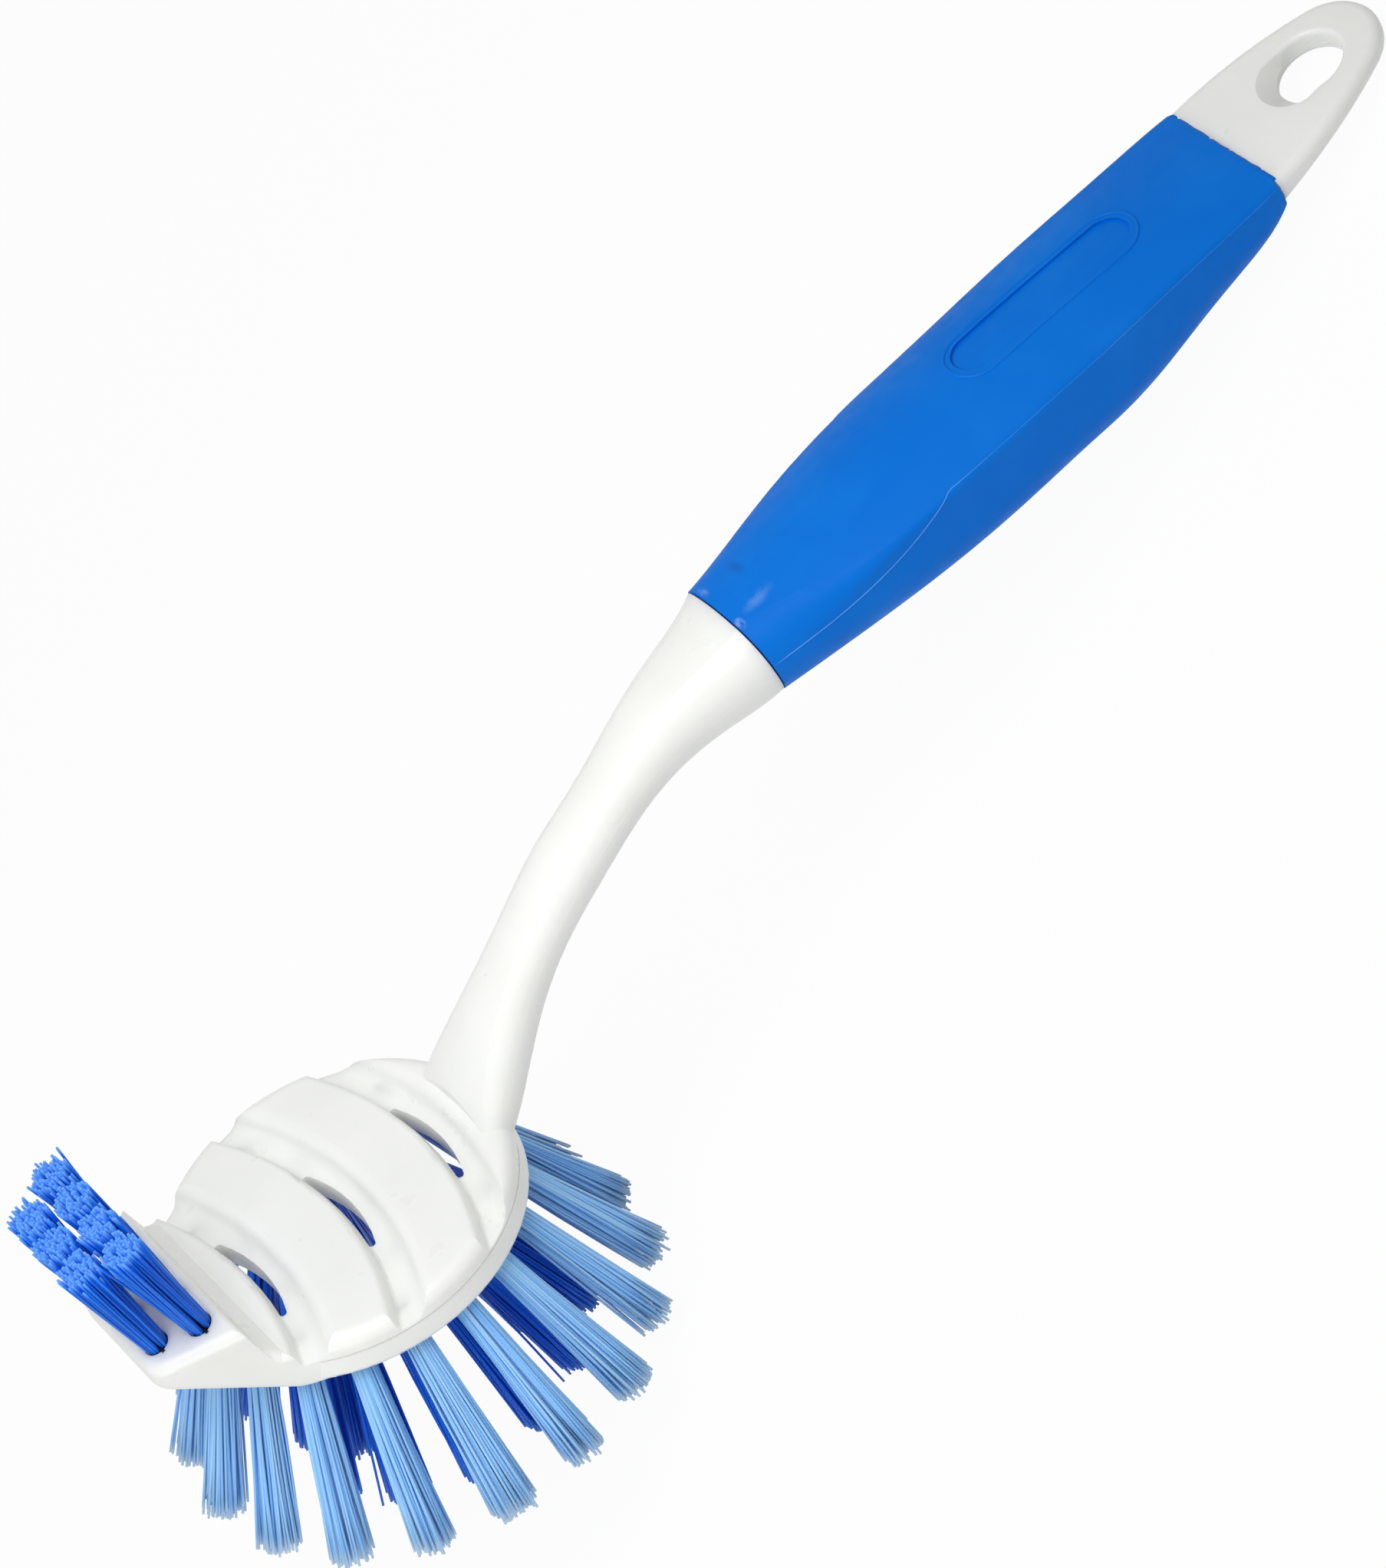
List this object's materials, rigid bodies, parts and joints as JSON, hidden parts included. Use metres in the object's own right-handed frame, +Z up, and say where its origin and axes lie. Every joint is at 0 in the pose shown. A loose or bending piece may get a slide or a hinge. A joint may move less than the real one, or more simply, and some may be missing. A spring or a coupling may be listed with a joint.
{
  "type": "dish brush",
  "caption": "Long-handled dish brush: round slotted head with fanned bristle tufts, raised front lip tufts, curved neck, soft grip and a hanging eye.",
  "frame": {"origin": "centre of the bounding box on the floor, with the brush lying on its rear bristle tips and loop end", "axes": "+X along the handle from head to loop, +Y across the head, +Z up"},
  "size_m": [0.2958, 0.0848, 0.0979],
  "materials": {
    "white_polypropylene": "satin moulded",
    "blue_soft_grip": "satin overmoulded",
    "light_blue_nylon": "drawn filament",
    "dark_blue_nylon": "drawn filament",
    "royal_blue_nylon": "drawn filament",
    "anchor_wire": "dark flat wire"
  },
  "bodies": {
    "root": {"brush_body": "white_polypropylene", "grip_sleeve": "blue_soft_grip", "outer_tuft_01": "light_blue_nylon", "outer_tuft_02": "light_blue_nylon", "outer_tuft_03": "light_blue_nylon", "outer_tuft_04": "light_blue_nylon", "outer_tuft_05": "light_blue_nylon", "outer_tuft_06": "light_blue_nylon", "outer_tuft_07": "light_blue_nylon", "outer_tuft_08": "light_blue_nylon", "outer_tuft_09": "light_blue_nylon", "outer_tuft_10": "light_blue_nylon", "outer_tuft_11": "light_blue_nylon", "outer_tuft_12": "light_blue_nylon", "outer_tuft_13": "light_blue_nylon", "outer_tuft_14": "light_blue_nylon", "outer_tuft_15": "light_blue_nylon", "outer_tuft_16": "light_blue_nylon", "outer_tuft_17": "light_blue_nylon", "outer_tuft_18": "light_blue_nylon", "middle_tuft_01": "dark_blue_nylon", "middle_tuft_02": "dark_blue_nylon", "middle_tuft_03": "dark_blue_nylon", "middle_tuft_04": "dark_blue_nylon", "middle_tuft_05": "dark_blue_nylon", "middle_tuft_06": "dark_blue_nylon", "middle_tuft_07": "dark_blue_nylon", "middle_tuft_08": "dark_blue_nylon", "middle_tuft_09": "dark_blue_nylon", "middle_tuft_10": "dark_blue_nylon", "middle_tuft_11": "dark_blue_nylon", "middle_tuft_12": "dark_blue_nylon", "inner_tuft_01": "dark_blue_nylon", "inner_tuft_02": "dark_blue_nylon", "inner_tuft_03": "dark_blue_nylon", "inner_tuft_04": "dark_blue_nylon", "inner_tuft_05": "dark_blue_nylon", "inner_tuft_06": "dark_blue_nylon", "lip_tuft_01": "royal_blue_nylon", "lip_tuft_02": "royal_blue_nylon", "lip_tuft_03": "royal_blue_nylon", "lip_tuft_04": "royal_blue_nylon", "lip_tuft_05": "royal_blue_nylon", "lip_tuft_06": "royal_blue_nylon", "lip_tuft_07": "royal_blue_nylon", "outer_anchors": "anchor_wire", "middle_anchors": "anchor_wire", "inner_anchors": "anchor_wire", "lip_anchors": "anchor_wire"}
  },
  "joints": []
}
